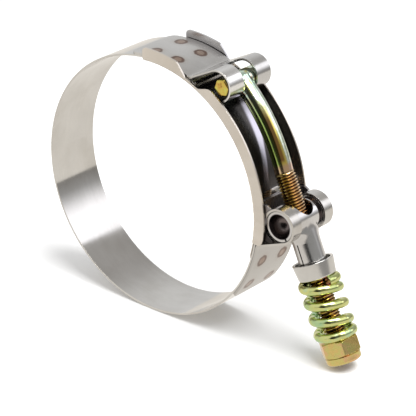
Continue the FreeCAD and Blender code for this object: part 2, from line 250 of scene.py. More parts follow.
def sheet(name, mid, normal, t, keep, bevel=0.13, flip=False):
    """A bent sheet: a grid of mid points and normals, thickness t, cells kept where keep is true."""
    n, m = keep.shape[0] + 1, keep.shape[1] + 1
    top = mid + normal * t / 2
    low = mid - normal * t / 2
    index = -np.ones((n, m, 2), int)
    verts = []
    faces = []

    def vid(i, j, k):
        if index[i, j, k] < 0:
            index[i, j, k] = len(verts)
            verts.append(top[i, j] if k == 0 else low[i, j])
        return int(index[i, j, k])

    for i in range(n - 1):
        for j in range(m - 1):
            if not keep[i, j]:
                continue
            c = [(i, j), (i + 1, j), (i + 1, j + 1), (i, j + 1)]
            faces.append([vid(a, b, 0) for a, b in c])
            faces.append([vid(a, b, 1) for a, b in reversed(c)])
            for (di, dj), (p, q) in (
                ((-1, 0), (0, 3)),
                ((1, 0), (2, 1)),
                ((0, -1), (1, 0)),
                ((0, 1), (3, 2)),
            ):
                a, b = i + di, j + dj
                if 0 <= a < n - 1 and 0 <= b < m - 1 and keep[a, b]:
                    continue
                (i0, j0), (i1, j1) = c[p], c[q]
                faces.append([vid(i0, j0, 0), vid(i1, j1, 0), vid(i1, j1, 1), vid(i0, j0, 1)])
    v = np.array(verts)
    if flip:
        v = v * np.array([1, 1, -1])
    return make(name, v, faces, bevel=bevel, angle=40)


def corner_width(s, r, w):
    """Half width at a distance s from an end whose plan corners are rounded by r."""
    if s >= r:
        return w
    return w - r + math.sqrt(max(r * r - (r - s) ** 2, 0.0))


def near(start, r, sign=1):
    """Stations close to a rounded end."""
    return [start + sign * r * (1 - math.cos(math.radians(a))) for a in range(0, 91, 10)]


def smooth(x):
    """A share that starts and ends softly."""
    x = min(max(x, 0.0), 1.0)
    return x * x * (3 - 2 * x)


def quarter(x):
    """How far a quarter round has fallen at a share x of its length."""
    x = min(max(x, 0.0), 1.0)
    return 1 - math.sqrt(1 - x * x)


def per_mm(r):
    """The angle of one millimetre along an arc."""
    return math.degrees(1 / r)


# Ring parts


def build_band():
    r = BAND_R - BAND_T / 2
    deg = per_mm(r)
    a0, a1 = BAND_ENDS
    th = set(np.arange(a0 + 3, a1 - 3, 1.25))
    th |= set(near(a0, BAND_CORNER * deg)) | set(near(a1, BAND_CORNER * deg, -1))
    th = sorted(th)
    cols = np.linspace(-1, 1, 7)
    mid = np.zeros((len(th), len(cols), 3))
    nor = np.zeros_like(mid)
    for i, a in enumerate(th):
        w = corner_width(min(a - a0, a1 - a) / deg, BAND_CORNER, HALF_BAND)
        c, s = polar(1.0, a)
        for j, v in enumerate(cols):
            mid[i, j] = (r * c, v * w, r * s)
            nor[i, j] = (c, 0, s)
    keep = np.ones((len(th) - 1, len(cols) - 1), bool)
    return sheet("band_strip", mid, nor, BAND_T, keep, bevel=0.16)


def flange_top(a):
    """Radius of the bridge's flange edge at an angle."""
    rise_start, rise_end, slope_end, slope_start = DIP
    upper_start = BRIDGE_ENDS[1] - UPPER_ROUND
    lower_end = FLANGE_START + LOWER_ROUND
    if a > upper_start:
        return TOP_R - UPPER_ROUND_DROP * quarter((a - upper_start) / UPPER_ROUND)
    if a > slope_start:
        return TOP_R
    if a > slope_end:
        return LOW_R + (TOP_R - LOW_R) * (a - slope_end) / (slope_start - slope_end)
    if a > rise_end:
        return LOW_R
    if a > rise_start:
        return LOW_R + (TOP_R - LOW_R) * smooth((rise_end - a) / (rise_end - rise_start))
    return TOP_R - LOWER_ROUND_DROP * quarter((lower_end - a) / LOWER_ROUND)


def channel_grid(name, stations, tops, half, inner_r, t, bend_r, bevel, flange_start=-90.0, narrow=None):
    """A channel bent round the ring's axis: floor, two bends and two radial flanges."""
    rb = inner_r + bend_r
    side = half - bend_r
    flange = [("flange", f, -1) for f in (1.0, 0.5, 0.0)]
    bend = [("bend", k * 15.0, -1) for k in range(1, 6)]
    floor = [("floor", v, 0) for v in (-1.0, -0.6, -0.2, 0.2, 0.6, 1.0)]
    edge = flange + bend
    section = edge + floor + [(kind, x, 1) for kind, x, _ in reversed(edge)]
    m = len(section)
    n = len(stations)
    mid = np.zeros((n, m, 3))
    nor = np.zeros_like(mid)
    for i, a in enumerate(stations):
        c, s = polar(1.0, a)
        w = narrow(a) if narrow else 1.0
        for j, (kind, x, sg) in enumerate(section):
            if kind == "flange":
                r, y = rb + x * (tops[i] - rb), sg * (half - t / 2)
                nr, ny = 0.0, float(sg)
            elif kind == "bend":
                q = math.radians(x)
                nr, ny = -math.sin(q), sg * math.cos(q)
                r, y = rb + nr * (bend_r - t / 2), sg * side + ny * (bend_r - t / 2)
            else:
                r, y = inner_r + t / 2, x * side * w
                nr, ny = -1.0, 0.0
            mid[i, j] = (r * c, y, r * s)
            nor[i, j] = (nr * c, ny, nr * s)
    keep = np.ones((n - 1, m - 1), bool)
    for i in range(n - 1):
        if (stations[i] + stations[i + 1]) / 2 <= flange_start:
            keep[i, : len(edge)] = False
            keep[i, -len(edge) :] = False
    return sheet(name, mid, nor, t, keep, bevel=bevel)


def build_bridge():
    """The channel inside the band, with more stations at its ends and where its flanges rise."""
    low, high = BRIDGE_ENDS
    deg = per_mm(BRIDGE_PLAN_R)
    th = set(np.round(np.arange(-15, 90, 0.75), 3)) | set(DIP)
    th |= set(near(low, BRIDGE_CORNER * deg)) | set(near(high, UPPER_ROUND, -1))
    th |= set(near(FLANGE_START, LOWER_ROUND)) | {60.0 + 0.3 * k for k in range(-8, 11)}
    th = np.array(sorted(th))
    th = th[np.append(True, np.diff(th) > 0.02)]

    def narrow(a):
        return corner_width((a - low) / deg, BRIDGE_CORNER, HALF_BAND) / HALF_BAND

    tops = [flange_top(a) for a in th]
    return channel_grid(
        "bridge_channel", th, tops, CHANNEL, BRIDGE_IN, BRIDGE_T, BRIDGE_BEND, 0.14, FLANGE_START, narrow
    )


def build_saddle():
    """The cradle under the lower loop, its flanges cut round the loop."""
    clear = LOW_LOOP + 0.1
    th = np.arange(SADDLE_ENDS[0], SADDLE_ENDS[1] + 0.01, 0.2)
    tops = []
    for a in th:
        along, across = polar(LOW_CENTRE_R, a - LOW_CENTRE_ANGLE)
        r = TOP_R + SADDLE_RISE - SADDLE_SLOPE * max(a - SADDLE_SLOPE_START, 0.0)
        if abs(across) < clear:
            r = min(r, along - math.sqrt(clear**2 - across**2))
        tops.append(r - 0.02)
    half = CHANNEL - BRIDGE_T - SADDLE_GAP
    return channel_grid("saddle_cradle", th, tops, half, LOW_R, SADDLE_T, SADDLE_BEND, 0.12)


# Straps


def strap_path(tail_angle, tail_r, centre, loop_r, ramp_angle, sweep):
    """A strap's middle line: tail, bend, straight ramp and loop, as points, normals and lengths."""
    ramp, left = polar(1.0, ramp_angle), polar(1.0, ramp_angle + 90)
    reach = tail_r + STRAP_T + STRAP_BEND
    start = polar(loop_r, ramp_angle + 90, centre) + left * STRAP_BEND
    along = start @ ramp
    bend = start + ramp * (math.sqrt(along * along - start @ start + reach * reach) - along)
    tail_end = math.degrees(math.atan2(bend[1], bend[0]))
    mid_r = tail_r + STRAP_T / 2
    deg = per_mm(mid_r)
    tail = set(np.arange(tail_angle - 4, tail_end, -1.2)) | set(near(tail_angle, STRAP_CORNER * deg, -1))
    pts = []
    for a in sorted(tail, reverse=True):
        pts.append((polar(mid_r, a), polar(1.0, a), (tail_angle - a) / deg))

    down = math.degrees(math.atan2(-bend[1], -bend[0]))
    to = ramp_angle - 90
    while to > down + 180:
        to -= 360
    while to < down:
        to += 360
    s = pts[-1][2]
    mid_r = STRAP_BEND + STRAP_T / 2
    for k in range(9):
        a = down + (to - down) * k / 8
        pts.append((polar(mid_r, a, bend), -polar(1.0, a), s + mid_r * math.radians(a - down)))

    p0, _, s = pts[-1]
    mid_r = loop_r - STRAP_T / 2
    p1 = polar(mid_r, ramp_angle + 90, centre)
    length = float(np.linalg.norm(p1 - p0))
    for k in range(1, 24):
        pts.append((p0 + (p1 - p0) * k / 24, left, s + length * k / 24))
    s += length
    steps = int(sweep / 3)
    for k in range(steps + 1):
        turn = sweep * k / steps
        a = ramp_angle + 90 - turn
        pts.append((polar(mid_r, a, centre), polar(1.0, a), s + mid_r * math.radians(turn)))
    return pts, bend


def slot_start(pts, corner, ramp):
    """The length along the strap at which its slot begins, level with corner along the ramp."""
    for p, q in zip(pts, pts[1:]):
        d0, d1 = (p[0] - corner) @ ramp, (q[0] - corner) @ ramp
        if d0 <= 0 < d1:
            return p[2] - d0 / (d1 - d0) * (q[2] - p[2])


def build_strap(name, pts, corner, ramp_angle, slot, flip=False):
    """A strap with a rounded tail and a slot that runs from its ramp through its loop."""
    s0 = slot_start(pts, corner, polar(1.0, ramp_angle))
    extra = []
    for s in near(s0, SLOT_CORNER):
        for p, q in zip(pts, pts[1:]):
            if p[2] < s <= q[2]:
                f = (s - p[2]) / (q[2] - p[2])
                normal = p[1] + f * (q[1] - p[1])
                extra.append((p[0] + f * (q[0] - p[0]), normal / np.linalg.norm(normal), s))
    rows = []
    for p in sorted(pts + extra, key=lambda p: p[2]):
        if not rows or p[2] - rows[-1][2] > 0.02:
            rows.append(p)
    n, cells = len(rows), 12
    slot_cells = slice(3, 9)
    mid = np.zeros((n, cells + 1, 3))
    nor = np.zeros_like(mid)
    keep = np.ones((n - 1, cells), bool)
    for i, (p, normal, s) in enumerate(rows):
        w = corner_width(s, STRAP_CORNER, HALF_BAND)
        h = corner_width(max(s - s0, 0.0), SLOT_CORNER, slot / 2)
        ys = [-w, -w + (w - h) * 0.33, -w + (w - h) * 0.67, -h, -h * 0.67, -h * 0.33, 0]
        ys += [-y for y in ys[-2::-1]]
        for j, y in enumerate(ys):
            mid[i, j] = (p[0], y, p[1])
            nor[i, j] = (normal[0], 0, normal[1])
        if i < n - 1 and (s + rows[i + 1][2]) / 2 > s0:
            keep[i, slot_cells] = False
    return sheet(name, mid, nor, STRAP_T, keep, bevel=0.14, flip=flip)


def build_bolt_strap():
    pts, bend = strap_path(UP_TAIL, BAND_R, UP_C, UP_LOOP, UP_RAMP, UP_SWEEP)
    corner = bend + polar(UP_SLOT_START, UP_RAMP)
    return build_strap("bolt_strap_sheet", pts, corner, UP_RAMP, UP_SLOT)


def build_barrel_strap():
    """The lower strap, drawn upside down so that the same path fits it, then flipped."""
    flip = np.array([1, -1])
    c, u, side = LOW_C * flip, U * flip, SIDE * flip
    pts, _ = strap_path(LOW_TAIL, LOW_R, c, LOW_LOOP, LOW_RAMP, LOW_SWEEP)
    left = polar(1.0, LOW_RAMP + 90)
    edge = c - side * (STEM_R + LOW_SLOT_GAP)
    reach = (left @ (c - edge) + LOW_LOOP) / (left @ u)
    return build_strap("barrel_strap_sheet", pts, edge + u * reach, LOW_RAMP, LOW_SLOT, flip=True)


# Pieces along the bolt: drawn along +Z from the barrel's centre, then laid on its line

LAY = Matrix(
    (
        (-SIDE[0], 0, U[0], LOW_C[0] * MM),
        (0, 1, 0, 0),
        (-SIDE[1], 0, U[1], LOW_C[1] * MM),
        (0, 0, 0, 1),
    )
)


def lay(obj):
    """Turn a finished piece from +Z onto the bolt's line."""
    obj.data.transform(LAY)
    obj.data.update()
    return obj


def lathe(name, profile, n=96, bevel=0.0, angle=30):
    """Turn a closed outline of (radius, height) about Z."""
    m = len(profile)
    verts = [around(r, a, z) for a in turns(n) for r, z in profile]
    faces = []
    for k in range(n):
        k2 = (k + 1) % n
        for i in range(m):
            i2 = (i + 1) % m
            faces.append([k * m + i, k2 * m + i, k2 * m + i2, k * m + i2])
    return make(name, verts, faces, bevel=bevel, angle=angle)


def tube(name, path, radii, n):
    """Sweep a circle along a path of points, with one radius a point."""
    path = [Vector(p) for p in path]
    verts = []
    normal = None
    for i, p in enumerate(path):
        t = (path[min(i + 1, len(path) - 1)] - path[max(i - 1, 0)]).normalized()
        if normal is None:
            ref = Vector((0, 0, 1)) if abs(t.z) < 0.9 else Vector((1, 0, 0))
            normal = t.cross(ref).normalized()
        normal = (normal - t * normal.dot(t)).normalized()
        other = t.cross(normal)
        for a in turns(n):
            verts.append(p + (normal * math.cos(a) + other * math.sin(a)) * radii[i])
    return make(name, verts, ring_faces(len(path), n), angle=50)


def build_thread(start, end, tip):
    """The rolled thread as one helical strip, with a run-out at its start and a chamfer at its tip."""
    n = 40
    crest_wide, flank = 0.06, 0.38
    runout, runout_r, runout_rise = 0.9, 2.88, 0.3
    prof = [(0.0, THREAD_R), (crest_wide, THREAD_R), (crest_wide + flank, ROOT_R)]
    prof += [(1 - f, r) for f, r in reversed(prof)]
    m = len(prof)
    total = (int((end - start) / PITCH) + 2) * n
    verts, faces = [], []
    for k in range(total + 1):
        for f, r in prof:
            z = min(max(start - PITCH + PITCH * (k / n + f), start), end)
            if z < start + runout:
                r = min(r, runout_r + (z - start) / runout * runout_rise)
            if z > end - tip:
                r = min(r, THREAD_R - (z - end + tip))
            verts.append(around(r, 2 * math.pi * k / n, z))
    for k in range(total):
        for j in range(m - 1):
            a = k * m + j
            faces.append([a, a + m, a + m + 1, a + 1])
    base = len(verts)
    verts += [around(THREAD_R - tip, a, end) for a in turns(n)]
    faces.append([base + k for k in range(n)])
    obj = make("t_bolt_thread", verts, faces, angle=30, clean=False)
    bm = bmesh.new()
    bm.from_mesh(obj.data)
    bmesh.ops.remove_doubles(bm, verts=bm.verts, dist=2e-6)
    bmesh.ops.dissolve_degenerate(bm, dist=1e-6, edges=bm.edges)
    bmesh.ops.recalc_face_normals(bm, faces=bm.faces)
    for e in bm.edges:
        e.smooth = not (len(e.link_faces) == 2 and e.calc_face_angle(0) > math.radians(28))
    bm.to_mesh(obj.data)
    bm.free()
    return lay(obj)


def join(name, objs):
    bpy.ops.object.select_all(action="DESELECT")
    for o in objs:
        o.select_set(True)
    bpy.context.view_layer.objects.active = objs[0]
    bpy.ops.object.join()
    objs[0].name = name
    return objs[0]


def build_shank():
    """The plain shank: an arc from the thread to the head, a little thicker at the head."""
    steps = 64
    fillet, fillet_length = 0.32, 4.4
    start = LOW_C + U * THREAD_START
    chord = HEAD - start
    half = float(np.linalg.norm(chord)) / 2
    inward = np.array([-chord[1], chord[0]]) / (2 * half)
    centre = start + chord * 0.5 + inward * math.sqrt(SHANK_ARC_R**2 - half * half)
    a0 = math.atan2(start[1] - centre[1], start[0] - centre[0])
    a1 = math.atan2(HEAD[1] - centre[1], HEAD[0] - centre[0])
    path, radii = [], []
    for k in range(-2, steps + 1):
        a = a0 + (a1 - a0) * k / steps
        p = centre + SHANK_ARC_R * np.array([math.cos(a), math.sin(a)])
        path.append((p[0], 0, p[1]))
        left = abs(a1 - a) * SHANK_ARC_R
        radii.append(SHANK_R + fillet * max(0.0, 1 - left / fillet_length) ** 2)
    return tube("shank", path, radii, n=48)


def build_head():
    """Cross head: a round middle that fades into forged, slightly irregular hexagonal ends."""
    n = 72
    edge_width, edge_drop = 0.5, 0.45
    ys = [-HEAD_HALF, -HEAD_HALF + 0.12, -HEAD_HALF + edge_width]
    ys += list(np.linspace(-HEAD_HALF + 0.9, HEAD_HALF - 0.9, 29))
    ys += [HEAD_HALF - edge_width, HEAD_HALF - 0.12, HEAD_HALF]
    rnd = random.Random(4)
    flats = [2.7 + rnd.uniform(-0.10, 0.06) for _ in range(6)]
    verts = []
    for y in ys:
        w = smooth((abs(y) - 3.0) / 1.4)
        edge = HEAD_HALF - abs(y)
        for a in turns(n):
            end_r = 2.97
            for f, flat in enumerate(flats):
                d = math.cos(a - math.radians(42 + 60 * f))
                if d > 0.2:
                    end_r = min(end_r, flat / d)
            r = HEAD_R * (1 - w) + end_r * w
            if edge < edge_width:
                r -= edge_drop * (1 - edge / edge_width) ** 1.5
            verts.append((HEAD[0] + r * math.cos(a), y, HEAD[1] + r * math.sin(a)))
    return make("head", verts, ring_faces(len(ys), n), angle=32)


def build_t_bolt():
    inset, tip = 0.4, 0.6
    thread = build_thread(THREAD_START, NUT_END - inset, tip)
    return join("t_bolt_piece", [build_shank(), thread, build_head()])


def boolean(obj, other, op):
    m = obj.modifiers.new("bool", "BOOLEAN")
    m.operation = op
    m.solver = "EXACT"
    m.object = other
    bake(obj)
    bpy.data.objects.remove(other)


def cylinder(name, r, low, high, n=96, along_y=False):
    verts = []
    for h in (low, high):
        for a in turns(n, 0.5):
            p, q, _ = around(r, a, h)
            verts.append((p, h, q) if along_y else (p, q, h))
    return make(name, verts, ring_faces(2, n), angle=40)


def block(name, lo, hi):
    x = [(lo[0], hi[0])[i & 1] for i in range(8)]
    y = [(lo[1], hi[1])[(i >> 1) & 1] for i in range(8)]
    z = [(lo[2], hi[2])[(i >> 2) & 1] for i in range(8)]
    f = [[0, 2, 3, 1], [4, 5, 7, 6], [0, 1, 5, 4], [2, 6, 7, 3], [0, 4, 6, 2], [1, 3, 7, 5]]
    return make(name, list(zip(x, y, z)), f)


def sector(name, r0, r1, a0, a1, y0, y1, n=48):
    """A ring sector round Y at the origin, angles in the bolt's own frame."""
    verts, faces = [], []
    for k in range(n + 1):
        c, s = polar(1.0, a0 + (a1 - a0) * k / n)
        for r in (r0, r1):
            for y in (y0, y1):
                verts.append((r * c, y, r * s))
    for k in range(n):
        b, c = 4 * k, 4 * k + 4
        faces += [[b, b + 1, c + 1, c], [b + 2, c + 2, c + 3, b + 3]]
        faces += [[b, c, c + 2, b + 2], [b + 1, b + 3, c + 3, c + 1]]
    faces += [[0, 2, 3, 1], [4 * n, 4 * n + 1, 4 * n + 3, 4 * n + 2]]
    return make(name, verts, faces)


def to_bolt_angle(a):
    """An angle in the XZ plane, seen in the frame whose +Z is the bolt's line."""
    p = polar(1.0, a)
    return math.degrees(math.atan2(p @ U, -(p @ SIDE)))


def build_flare():
    """The soft corner where the sheet of the barrel turns into the stem, wider along the barrel."""
    n = 72
    r, wider = STEM_R + 0.01, 1.1
    levels = [(1.0, 1.0), (4.2, 1.0), (4.8, 0.85), (5.4, 0.5), (6.0, 0.25), (6.8, 0.07), (7.6, 0.0)]
    verts = []
    for z, grow in levels:
        for a in turns(n, 0.5):
            verts.append((r * math.cos(a), (r + wider * grow) * math.sin(a), z))
    return make("flare", verts, ring_faces(len(levels), n))


def tilted(obj, angle, axis):
    obj.data.transform(Matrix.Rotation(math.radians(angle), 4, axis))
    return obj


def sleeve_cutters(outer, inner):
    """A blind domed hole in each end, the bore, a fan of room for the bolt, relief, slits and seam."""
    dome_start, far, slit, slit_turn, seam = 4.3, 20, 0.35, -11.0, 0.22
    relief_r, relief_y = 4.2, (3.9, 5.5)
    relief_ends = (to_bolt_angle(-32.0), to_bolt_angle(150.0) + 360)
    dome = []
    for t in np.linspace(0, math.pi / 2, 19):
        dome.append((inner * math.sin(t), dome_start + inner * (1 - math.cos(t))))
    for s in (-1, 1):
        yield tilted(lathe("hollow", dome + [(inner, far), (0, far)]), -90 * s, "X")
    yield cylinder("bore", BORE_R, 0, far)
    for k in range(5):
        yield tilted(cylinder("fan", BORE_R, -11, 0, n=72), 10 * k, "Y")
    yield sector("relief", relief_r, outer + 1, *relief_ends, *relief_y)
    for a, b in ((-12.0, -5.5), (5.5, 12.0)):
        yield tilted(block("slit", (-slit, a, 0), (slit, b, 8)), slit_turn, "Y")
    yield block("seam", (-seam, -6, 7.5), (seam, 0, 18))


def build_sleeve():
    """Barrel and stem rolled from one sheet, drawn in the bolt's own frame."""
    outer = LOW_LOOP - STRAP_T - BARREL_CLEAR
    inner = LOW_LOOP - STRAP_T - SLEEVE_GAP - SLEEVE_T
    body = cylinder("barrel_sleeve_rolled", outer, -BARREL_HALF, BARREL_HALF, along_y=True)
    boolean(body, cylinder("stem", STEM_R, 0, STEM_END), "UNION")
    boolean(body, build_flare(), "UNION")
    for cutter in sleeve_cutters(outer, inner):
        boolean(body, cutter, "DIFFERENCE")
    recalc(body)
    finish_mesh(body, 0.12, 40)
    return lay(body)


def build_cup():
    hole, top_r, rim_r, corner = 3.675, 5.9, 6.5, 0.6
    base = CUP_FACE - CUP_T
    lean = (rim_r - top_r) * CUP_T / (CUP_FACE - CUP_RIM)
    prof = [(hole, CUP_FACE), (top_r - corner, CUP_FACE)]
    for k in range(7):
        prof.append(tuple(polar(corner, 90 - 15 * k, (top_r - corner, CUP_FACE - corner))))
    prof += [(rim_r, CUP_RIM), (rim_r - CUP_T, CUP_RIM), (top_r - CUP_T + lean, base), (hole, base)]
    return lay(lathe("spring_cup_pressed", prof, bevel=0.13, angle=28))


def soft_rise(x):
    """The coil's height along its active turns, eased where it meets the closed ends."""
    e = 0.03
    if x < e:
        return x * x / (2 * e) / (1 - e)
    if x > 1 - e:
        return 1 - (1 - x) ** 2 / (2 * e) / (1 - e)
    return (x - e / 2) / (1 - e)


def build_spring():
    first_end, active, last_end = 184.0, 360 * 3.38, 150.0
    total = first_end + active + last_end
    n = int(total / 7.5)
    rise = NUT_FACE - CUP_FACE - 2 * WIRE_R
    pts = []
    for k in range(n + 1):
        t = total * k / n
        x = min(max((t - first_end) / active, 0.0), 1.0)
        pts.append((*polar(COIL_R, COIL_START - t), CUP_FACE + WIRE_R + rise * soft_rise(x)))
    obj = tube("spring_coil", pts, [WIRE_R] * len(pts), n=24)
    bevel_edges(obj, 0.12, 60)
    bake(obj)
    return lay(obj)


def build_nut():
    """Hexagon with chamfered corners and a collar. Its bore is plain."""
    n = 192
    flat = HEX_WIDTH / 2
    corner = HEX_WIDTH / math.sqrt(3)
    slope = math.tan(math.radians(30))
    drop = (corner - flat) * slope
    hex_end = NUT_FACE + HEX_HEIGHT
    hexagon = [NUT_FACE + drop * 1.02 * i / 4 for i in range(5)]
    hexagon += [NUT_FACE + 2.5]
    hexagon += [hex_end - drop * 2.2 + drop * 2.2 * i / 6 for i in range(7)]
    collar = [(COLLAR + 0.05, hex_end + 0.05), (COLLAR, hex_end + 0.2), (COLLAR, NUT_END - 0.78)]
    for r, down in ((5.41, 0.60), (5.31, 0.38), (5.17, 0.21), (4.97, 0.10), (4.76, 0.0)):
        collar.append((r, NUT_END - down))
    collar += [(LIP_R, NUT_END), (LIP_R, NUT_END - LIP_T), (NUT_BORE, NUT_END - LIP_T), (NUT_BORE, NUT_FACE)]

    def hex_r(a, z):
        off = (math.degrees(a) - HEX_TURN) % 60 - 30
        front = flat - 0.05 + (z - NUT_FACE) / slope
        back = flat - drop * 0.6 + (hex_end - z) / (slope * 1.15)
        return min(flat / math.cos(math.radians(off)), corner - 0.05, front, back)

    verts = [around(hex_r(a, z), a, z) for z in hexagon for a in turns(n)]
    verts += [around(r, a, z) for r, z in collar for a in turns(n)]
    faces = ring_faces(len(hexagon) + len(collar), n, loop=True)
    return lay(make("lock_nut_piece", verts, faces, angle=24))


def build_lock_ring():
    inner, outer, height = 3.23, 3.84, 1.6
    high = NUT_END - LIP_T
    prof = [(inner, high), (outer, high), (outer, high - height), (inner, high - height)]
    return lay(lathe("lock_ring_piece", prof, n=64))


# Shader helpers

WHITE = (1, 1, 1)
SOCKETS = {
    "color": "Base Color",
    "rough": "Roughness",
    "metal": "Metallic",
    "aniso": "Anisotropic",
    "specular": "Specular IOR Level",
}


class Nodes:
    """Short calls that add nodes to a tree. Each takes sockets or plain values."""

    def __init__(self, tree):
        self.tree = tree
        self.bsdf = tree.nodes.get("Principled BSDF")
        self.place = None
        self.axes = None

    def new(self, kind):
        return self.tree.nodes.new("ShaderNode" + kind)

    def put(self, socket, value):
        if isinstance(value, bpy.types.NodeSocket):
            self.tree.links.new(value, socket)
        elif socket.type == "RGBA":
            socket.default_value = (*value, 1.0)
        else:
            socket.default_value = value

    def fill(self, node, *values):
        for s, v in zip(node.inputs, values):
            self.put(s, v)
        return node.outputs[0]

    def math(self, op, a, b=0.0, c=0.0):
        n = self.new("Math")
        n.operation = op
        return self.fill(n, a, b, c)

    def times(self, first, *others):
        for v in others:
            first = self.math("MULTIPLY", first, v)
        return first

    def hypot(self, a, b):
        return self.math("SQRT", self.math("ADD", self.times(a, a), self.times(b, b)))

    def vec(self, op, a, b=(0, 0, 0)):
        n = self.new("VectorMath")
        n.operation = op
        self.put(n.inputs[0], a)
        self.put(n.inputs[1], b)
        return n.outputs["Vector" if op == "SUBTRACT" else "Value"]

    def obj(self):
        if self.place is None:
            self.place = self.new("TexCoord").outputs["Object"]
        return self.place

    def split(self, vector):
        n = self.new("SeparateXYZ")
        self.put(n.inputs[0], vector)
        return n.outputs

    def xyz(self):
        if self.axes is None:
            self.axes = self.split(self.obj())
        return self.axes

    def angle(self):
        """The angle round the ring's axis, in radians."""
        return self.math("ARCTAN2", self.xyz()[2], self.xyz()[0])

    def radius(self):
        return self.hypot(self.xyz()[0], self.xyz()[2])

    def combine(self, x, y, z):
        return self.fill(self.new("CombineXYZ"), x, y, z)

    def noise(self, vector, scale, detail=4.0, rough=0.55, distortion=0.0):
        n = self.new("TexNoise")
        self.put(n.inputs["Vector"], vector)
        n.inputs["Scale"].default_value = scale
        n.inputs["Detail"].default_value = detail
        n.inputs["Roughness"].default_value = rough
        n.inputs["Distortion"].default_value = distortion
        return n.outputs["Fac"]

    def ramp(self, fac, stops):
        n = self.new("ValToRGB")
        els = n.color_ramp.elements
        while len(els) < len(stops):
            els.new(0.5)
        for e, (p, c) in zip(els, stops):
            e.position = p
            e.color = (*c, 1.0)
        return self.fill(n, fac)

    def span(self, value, lo, hi, a=0.0, b=1.0, smooth=True):
        """Goes from a to b as the value goes from lo to hi."""
        n = self.new("MapRange")
        n.interpolation_type = "SMOOTHSTEP" if smooth else "LINEAR"
        return self.fill(n, value, lo, hi, a, b)

    def fall(self, value, lo, hi):
        return self.span(value, lo, hi, 1.0, 0.0)

    def mix(self, fac, a, b):
        n = self.new("Mix")
        n.data_type = "RGBA"
        self.put(n.inputs[0], fac)
        self.put(n.inputs[6], a)
        self.put(n.inputs[7], b)
        return n.outputs[2]

    def bump(self, height, strength, distance):
        n = self.new("Bump")
        n.inputs["Strength"].default_value = strength
        n.inputs["Distance"].default_value = distance
        self.put(n.inputs["Height"], height)
        old = self.bsdf.inputs["Normal"]
        if old.links:
            self.put(n.inputs["Normal"], old.links[0].from_socket)
        self.put(old, n.outputs[0])

    def set(self, **values):
        for k, v in values.items():
            self.put(self.bsdf.inputs[SOCKETS[k]], v)


def new_material(name):
    mat = bpy.data.materials.new(name)
    mat.use_nodes = True
    return mat, Nodes(mat.node_tree)


# Satin strip


def paint_channel_shade(g, base):
    """Painted shade: the channel's inside is darkened almost to black, with a painted reflection streak
    along its floor, painted dark reflection on its flanges and painted shade on the rear ear.
    """
    shadow, painted_reflection_streak, flange_dark_reflection = (0.085, 0.08, 0.078), (0.60, 0.58, 0.66), (0.34, 0.30, 0.26)
    ear_shaded, ear_lit = (0.40, 0.39, 0.40), (0.64, 0.63, 0.64)
    y = g.xyz()[1]
    angle = g.angle()
    radius = g.radius()
    inside = g.times(
        g.fall(g.math("ABSOLUTE", y), 0.00995, 0.01005),
        g.span(radius, 0.0415, 0.0417),
        g.fall(angle, 1.10, 1.16),
    )
    middle = g.math("MULTIPLY_ADD", g.math("SUBTRACT", angle, 0.49), 0.0098, -0.0006)
    off = g.math("ABSOLUTE", g.math("SUBTRACT", y, middle))
    wide = g.span(angle, 0.45, 0.85, 0.0012, 0.0026)
    streak = g.times(g.fall(g.math("DIVIDE", off, wide), 0.55, 1.15), g.span(angle, 0.22, 0.40))
    # Painted shade inside the channel, with a painted reflection streak on its floor and painted dark
    # reflection on the flanges
    tint = g.mix(g.span(radius, 0.0422, 0.0430), g.mix(streak, shadow, painted_reflection_streak), flange_dark_reflection)
    # Painted shade on the rear flange's end, darker nearer the band
    ear = g.times(g.span(y, 0.0095, 0.0098), g.span(angle, 1.16, 1.22))
    base = g.mix(ear, base, g.mix(g.span(radius, 0.0435, 0.0456), ear_shaded, ear_lit))
    return g.mix(inside, base, tint)


def paint_under_shade(g, base):
    """Painted shade under the upper strap's ramp and inside its loop, and a painted highlight on the loop's
    front.
    """
    shadow, front = (0.09, 0.085, 0.08), (0.84, 0.83, 0.815)
    x, y, z = g.xyz()
    dx = g.times(g.math("SUBTRACT", x, UP_C[0] * MM), 1 / MM)
    dz = g.times(g.math("SUBTRACT", z, UP_C[1] * MM), 1 / MM)
    off = g.hypot(dx, dz)

    def along(direction):
        return g.math("ADD", g.times(dx, float(direction[0])), g.times(dz, float(direction[1])))

    rise = along(polar(1.0, UP_RAMP + 90))
    run = along(polar(1.0, UP_RAMP))
    below = g.times(g.fall(rise, 4.55, 4.75), g.fall(run, 0.0, 0.4), g.span(g.radius(), 0.04335, 0.04345))
    inside = g.math("MAXIMUM", g.fall(off, 4.55, 4.7), below)
    # A painted highlight on the front of the loop
    loop_highlight = g.times(g.span(run, 1.5, 3.5), g.span(y, -0.001, -0.003))
    # Painted shade under the ramp and inside the loop
    return g.mix(inside, g.mix(loop_highlight, base, front), shadow)


def paint_tube_shade(g, base):
    """Painted shade inside the barrel, its relief and its two mouths, less dark towards the mouths."""
    x, y, z = g.xyz()
    off = g.hypot(g.math("SUBTRACT", x, LOW_C[0] * MM), g.math("SUBTRACT", z, LOW_C[1] * MM))
    inside = g.fall(off, 0.0040, 0.0042)
    groove = g.times(g.fall(off, 0.00430, 0.00445), g.span(y, 0.0038, 0.0039))
    mouth = g.span(g.math("ABSOLUTE", y), 0.0070, 0.0088)
    # Painted shade, less dark near the mouths
    dark = g.mix(mouth, (0.15, 0.125, 0.12), (0.34, 0.32, 0.33))
    return g.mix(g.math("MAXIMUM", inside, groove), base, dark)


def paint_tail_shade(g, base):
    """Painted shade: the lower strap's tail is darker than its ramp and loop."""
    return g.mix(g.span(g.angle(), -0.10, -0.24), base, (0.54, 0.525, 0.505))


def shade_saddle(g, base):
    """The saddle's lower end lies in the dark of the channel."""
    return g.mix(g.span(g.angle(), -0.005, -0.035), base, (0.045, 0.04, 0.04))


